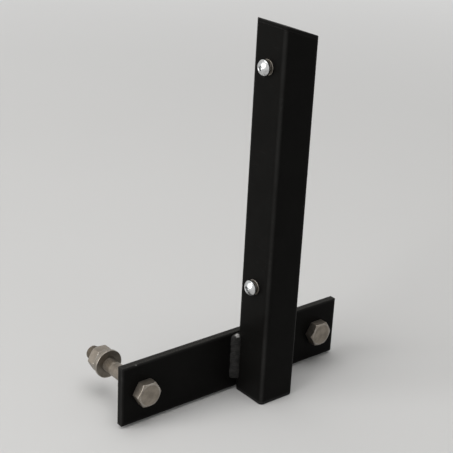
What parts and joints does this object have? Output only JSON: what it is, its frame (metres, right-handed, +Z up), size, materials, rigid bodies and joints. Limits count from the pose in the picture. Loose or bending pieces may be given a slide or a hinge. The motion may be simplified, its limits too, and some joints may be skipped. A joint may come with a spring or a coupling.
{
  "type": "table tennis net clamp",
  "caption": "Bolt-on clamp for a table tennis net: square post with a sloping top on a flat bracket plate, with through bolts, spacers and nuts.",
  "frame": {"origin": "midway between the two table bolts, in the plane where the spacers meet the table's rail", "axes": "+Z up along the post, +X away from the table along the bolts, +Y along the table's side, away from the net's face"},
  "size_m": [0.0724, 0.147, 0.207],
  "materials": {
    "black_powder_coat": "satin black powder coat",
    "coated_weld": "powder coat over a weld bead",
    "black_spacer": "moulded black nylon",
    "black_plastic": "moulded black polyethylene",
    "zinc_plate": "dull zinc plate",
    "spring_steel": "zinc-plated spring steel",
    "bright_steel": "bright stainless"
  },
  "bodies": {
    "clamp": {"post_tube": "black_powder_coat", "post_top_plate": "black_powder_coat", "foot_plug": "black_plastic", "bracket_plate": "black_powder_coat", "weld_bead_net_side": "coated_weld", "weld_bead_far_side": "coated_weld", "table_bolt_left": "zinc_plate", "spacer_left": "black_spacer", "table_bolt_right": "zinc_plate", "spacer_right": "black_spacer", "net_screw_upper": "bright_steel", "rivet_nut_upper": "zinc_plate", "net_screw_lower": "bright_steel", "rivet_nut_lower": "zinc_plate"},
    "washers_left": {"flat_washer_left": "zinc_plate", "spring_washer_left": "spring_steel"},
    "nut_left": {"table_nut_left": "zinc_plate"},
    "washers_right": {"flat_washer_right": "zinc_plate", "spring_washer_right": "spring_steel"},
    "nut_right": {"table_nut_right": "zinc_plate"}
  },
  "joints": [
    {"name": "washers_left_travel", "type": "slide", "parent": "clamp", "child": "washers_left", "axis": [-1, 0, 0], "range_m": [-0.008, 0.006]},
    {"name": "nut_left_turn", "type": "hinge", "parent": "washers_left", "child": "nut_left", "pos_m": [-0.02685, -0.0595, 0], "axis": [-1, 0, 0], "range_deg": [-2304, 1728]},
    {"name": "washers_right_travel", "type": "slide", "parent": "clamp", "child": "washers_right", "axis": [-1, 0, 0], "range_m": [-0.008, 0.006]},
    {"name": "nut_right_turn", "type": "hinge", "parent": "washers_right", "child": "nut_right", "pos_m": [-0.02685, 0.0595, 0], "axis": [-1, 0, 0], "range_deg": [-2304, 1728]}
  ],
  "couplings": [
    {"joint": "nut_left_turn", "follows": "washers_left_travel", "rad_per_m": 5026.5},
    {"joint": "nut_right_turn", "follows": "washers_right_travel", "rad_per_m": 5026.5}
  ]
}
